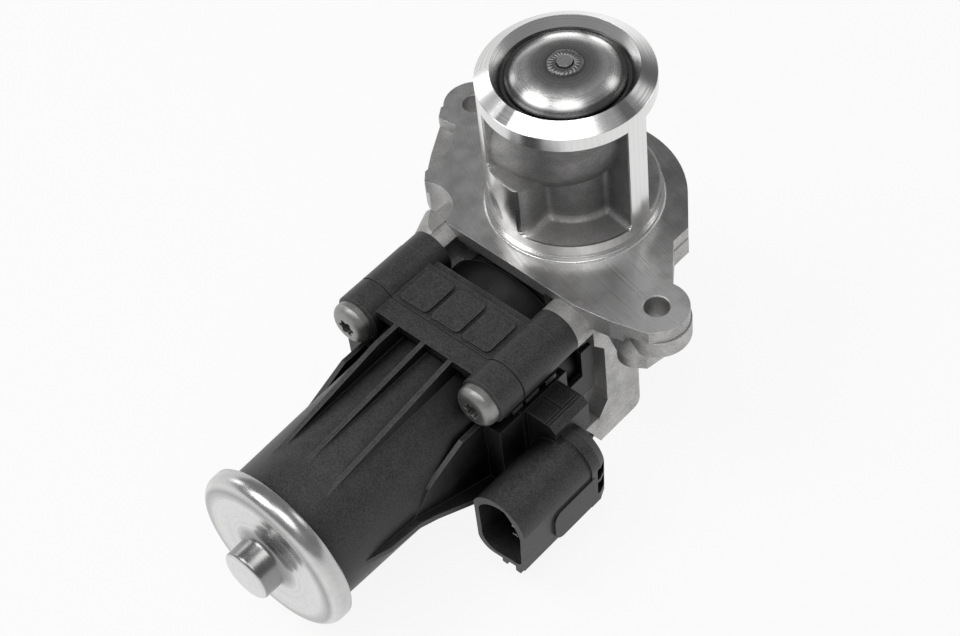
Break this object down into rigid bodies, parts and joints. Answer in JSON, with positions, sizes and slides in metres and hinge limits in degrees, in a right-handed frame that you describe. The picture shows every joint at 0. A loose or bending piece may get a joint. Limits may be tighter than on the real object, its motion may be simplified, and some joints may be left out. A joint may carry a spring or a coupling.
{
  "type": "egr valve",
  "caption": "Electric exhaust gas recirculation valve: ribbed black motor housing, cast flange with a windowed valve cage, and a poppet lifted by a spiral cam.",
  "frame": {"origin": "centre of the mounting face, on the valve stem's axis", "axes": "+Z out of the mounting face along the stem to the poppet disc; -Y along the motor; +X towards the connector side"},
  "size_m": [0.103, 0.1587, 0.1054],
  "materials": {
    "cast_aluminium": "cast, machined on the faces",
    "black_plastic": "moulded, fine grain",
    "zinc_steel": "bright zinc plated",
    "steel": "ground",
    "screw_steel": "satin",
    "valve_steel": "turned",
    "sintered": "sintered",
    "bronze": "plain",
    "copper": "enamelled wire",
    "spring_steel": "drawn",
    "seal_rubber": "matte",
    "natural_plastic": "moulded",
    "ferrite": "plain",
    "carbon": "pressed carbon",
    "board": "circuit board",
    "terminal_tin": "tinned"
  },
  "bodies": {
    "body": {"valve_body": "cast_aluminium", "seat_ring": "valve_steel", "guide_bush": "bronze", "stem_scraper": "sintered", "scraper_cap": "steel", "stem_seal": "seal_rubber", "return_spring": "spring_steel", "lower_guide": "bronze", "ring_gear": "natural_plastic", "output_bush": "bronze", "motor_can": "zinc_steel", "magnets": "ferrite", "brush_holder": "black_plastic", "brushes": "carbon", "rear_bearing": "steel", "front_bearing": "steel", "motor_cap": "zinc_steel", "motor_housing": "black_plastic", "gear_housing": "black_plastic", "gear_cover": "black_plastic", "housing_screws": "screw_steel", "connector_terminals": "terminal_tin", "sensor_board": "board", "cover_seal": "seal_rubber", "housing_seal": "seal_rubber"},
    "valve": {"valve_disc": "valve_steel", "stem_collar": "valve_steel", "valve_stem": "steel", "spring_plate": "steel", "crosshead": "steel", "roller_pin": "steel"},
    "roller": {"cam_roller": "steel"},
    "cam": {"cam_wheel": "sintered", "carrier": "steel", "planet_pins": "steel", "sensor_magnet": "ferrite"},
    "planet_a": {"planet_gear_1": "natural_plastic"},
    "planet_b": {"planet_gear_2": "natural_plastic"},
    "planet_c": {"planet_gear_3": "natural_plastic"},
    "rotor": {"rotor_shaft": "steel", "rotor_core": "steel", "rotor_windings": "copper", "commutator": "copper", "sun_pinion": "steel"}
  },
  "joints": [
    {"name": "cam_turn", "type": "hinge", "parent": "body", "child": "cam", "pos_m": [0, -0.014, -0.0288], "axis": [0, 1, 0], "range_deg": [0, 120], "stiffness_Nm_per_rad": 0.016},
    {"name": "valve_lift", "type": "slide", "parent": "body", "child": "valve", "axis": [0, 0, 1], "range_m": [0, 0.006], "deforming": ["return_spring"]},
    {"name": "motor_turn", "type": "hinge", "parent": "body", "child": "rotor", "pos_m": [0, -0.09, -0.0288], "axis": [0, 1, 0], "range_deg": [0, 540]},
    {"name": "roller_turn", "type": "hinge", "parent": "valve", "child": "roller", "pos_m": [0, -0.0125, -0.0208], "axis": [0, 1, 0], "range_deg": [-432, 0]},
    {"name": "planet_a_turn", "type": "hinge", "parent": "cam", "child": "planet_a", "pos_m": [0, -0.0445, -0.01665], "axis": [0, 1, 0], "range_deg": [-337, 0]},
    {"name": "planet_b_turn", "type": "hinge", "parent": "cam", "child": "planet_b", "pos_m": [-0.01052, -0.0445, -0.03488], "axis": [0, 1, 0], "range_deg": [-337, 0]},
    {"name": "planet_c_turn", "type": "hinge", "parent": "cam", "child": "planet_c", "pos_m": [0.01052, -0.0445, -0.03488], "axis": [0, 1, 0], "range_deg": [-337, 0]}
  ],
  "couplings": [
    {"joint": "valve_lift", "follows": "cam_turn", "m_per_rad": 0.0028648},
    {"joint": "motor_turn", "follows": "cam_turn", "ratio": 4.5},
    {"joint": "roller_turn", "follows": "cam_turn", "ratio": -3.4375},
    {"joint": "planet_a_turn", "follows": "cam_turn", "ratio": -2.8},
    {"joint": "planet_b_turn", "follows": "cam_turn", "ratio": -2.8},
    {"joint": "planet_c_turn", "follows": "cam_turn", "ratio": -2.8}
  ]
}
